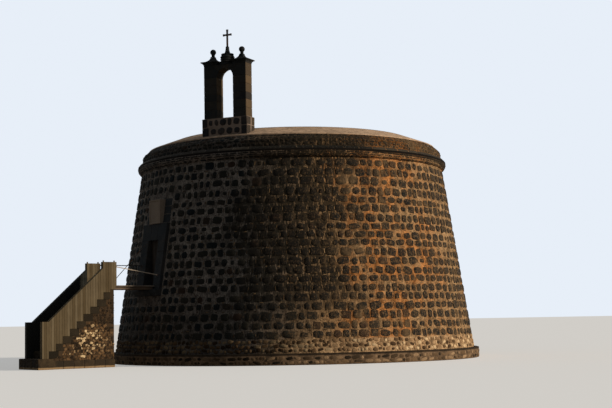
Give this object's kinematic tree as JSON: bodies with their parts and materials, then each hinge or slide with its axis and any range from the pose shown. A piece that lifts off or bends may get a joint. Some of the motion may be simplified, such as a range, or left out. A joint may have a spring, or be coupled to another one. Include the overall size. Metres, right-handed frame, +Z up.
{
  "type": "martello tower",
  "caption": "Round battered coastal tower with string course, plastered parapet, bell gable, boarded outside stair, timber bridge and a hinged door.",
  "frame": {"origin": "on the tower's axis at the level of its base", "axes": "+Z up the axis; the door, bridge and stair face -Y; +X to the right of someone who faces the door"},
  "size_m": [15.3197, 19.7794, 12.935],
  "materials": {
    "plinth_rubble": "coursed basalt rubble in wide lime mortar",
    "cobble_wall": "coursed dark basalt cobbles in wide tan lime mortar",
    "floor_lime": "worn lime concrete",
    "vault_masonry": "rough lime-washed rubble vault",
    "terrace_lime": "lime screed",
    "string_stone": "dressed dark basalt",
    "parapet_rubble": "small dark rubble in lime mortar",
    "lime_plaster": "warm lime plaster, matt",
    "surround_stone": "dressed dark basalt ashlar",
    "plaque_stone": "bare light brown stone",
    "door_wood": "weathered brown boards",
    "iron": "rusted wrought iron",
    "belfry_rubble": "rubble in lime mortar",
    "belfry_stone": "dressed dark basalt ashlar",
    "cornice_stone": "carved dark basalt",
    "footing_stone": "dark footing stone",
    "stair_rubble": "bright tan rubble in lime mortar",
    "step_stone": "dressed dark steps",
    "board_wood": "weathered upright boards",
    "deck_wood": "weathered planks and beams",
    "rope": "stout laid rope"
  },
  "bodies": {
    "tower": {"plinth": "plinth_rubble", "wall_below_door": "cobble_wall", "wall_left_of_door": "cobble_wall", "wall_right_of_door": "cobble_wall", "wall_over_door": "cobble_wall", "wall_front_right": "cobble_wall", "wall_right": "cobble_wall", "wall_rear_right": "cobble_wall", "wall_rear_left": "cobble_wall", "wall_left": "cobble_wall", "wall_front_left": "cobble_wall", "entry_floor": "floor_lime", "vault": "vault_masonry", "terrace_floor": "terrace_lime", "cordon": "string_stone", "parapet": "parapet_rubble", "parapet_plaster": "lime_plaster", "door_sill": "surround_stone", "door_jamb_left": "surround_stone", "door_jamb_right": "surround_stone", "door_lintel": "surround_stone", "plaque": "plaque_stone", "door_pintles": "iron", "belfry_base": "belfry_rubble", "belfry_pier_left": "belfry_stone", "belfry_pier_right": "belfry_stone", "belfry_arch": "belfry_stone", "belfry_caps": "cornice_stone", "ball_finials": "cornice_stone", "cross_pedestal": "cornice_stone", "cross": "iron", "stair_footing": "footing_stone", "stair_masonry": "stair_rubble", "stair_steps": "step_stone", "foot_step": "footing_stone", "stair_parapet_left": "board_wood", "stair_parapet_right": "board_wood", "newel_posts": "board_wood", "landing_posts": "board_wood", "bridge_beams": "deck_wood", "bridge_planks": "deck_wood", "bridge_ropes": "rope", "bridge_stay": "iron"},
    "door": {"door_leaf": "door_wood", "door_straps": "iron"}
  },
  "joints": [
    {"name": "door_hinge", "type": "hinge", "parent": "tower", "child": "door", "pos_m": [-0.46, -6.59852, 3.2], "axis": [0, 0, 1], "range_deg": [0, 90]}
  ]
}
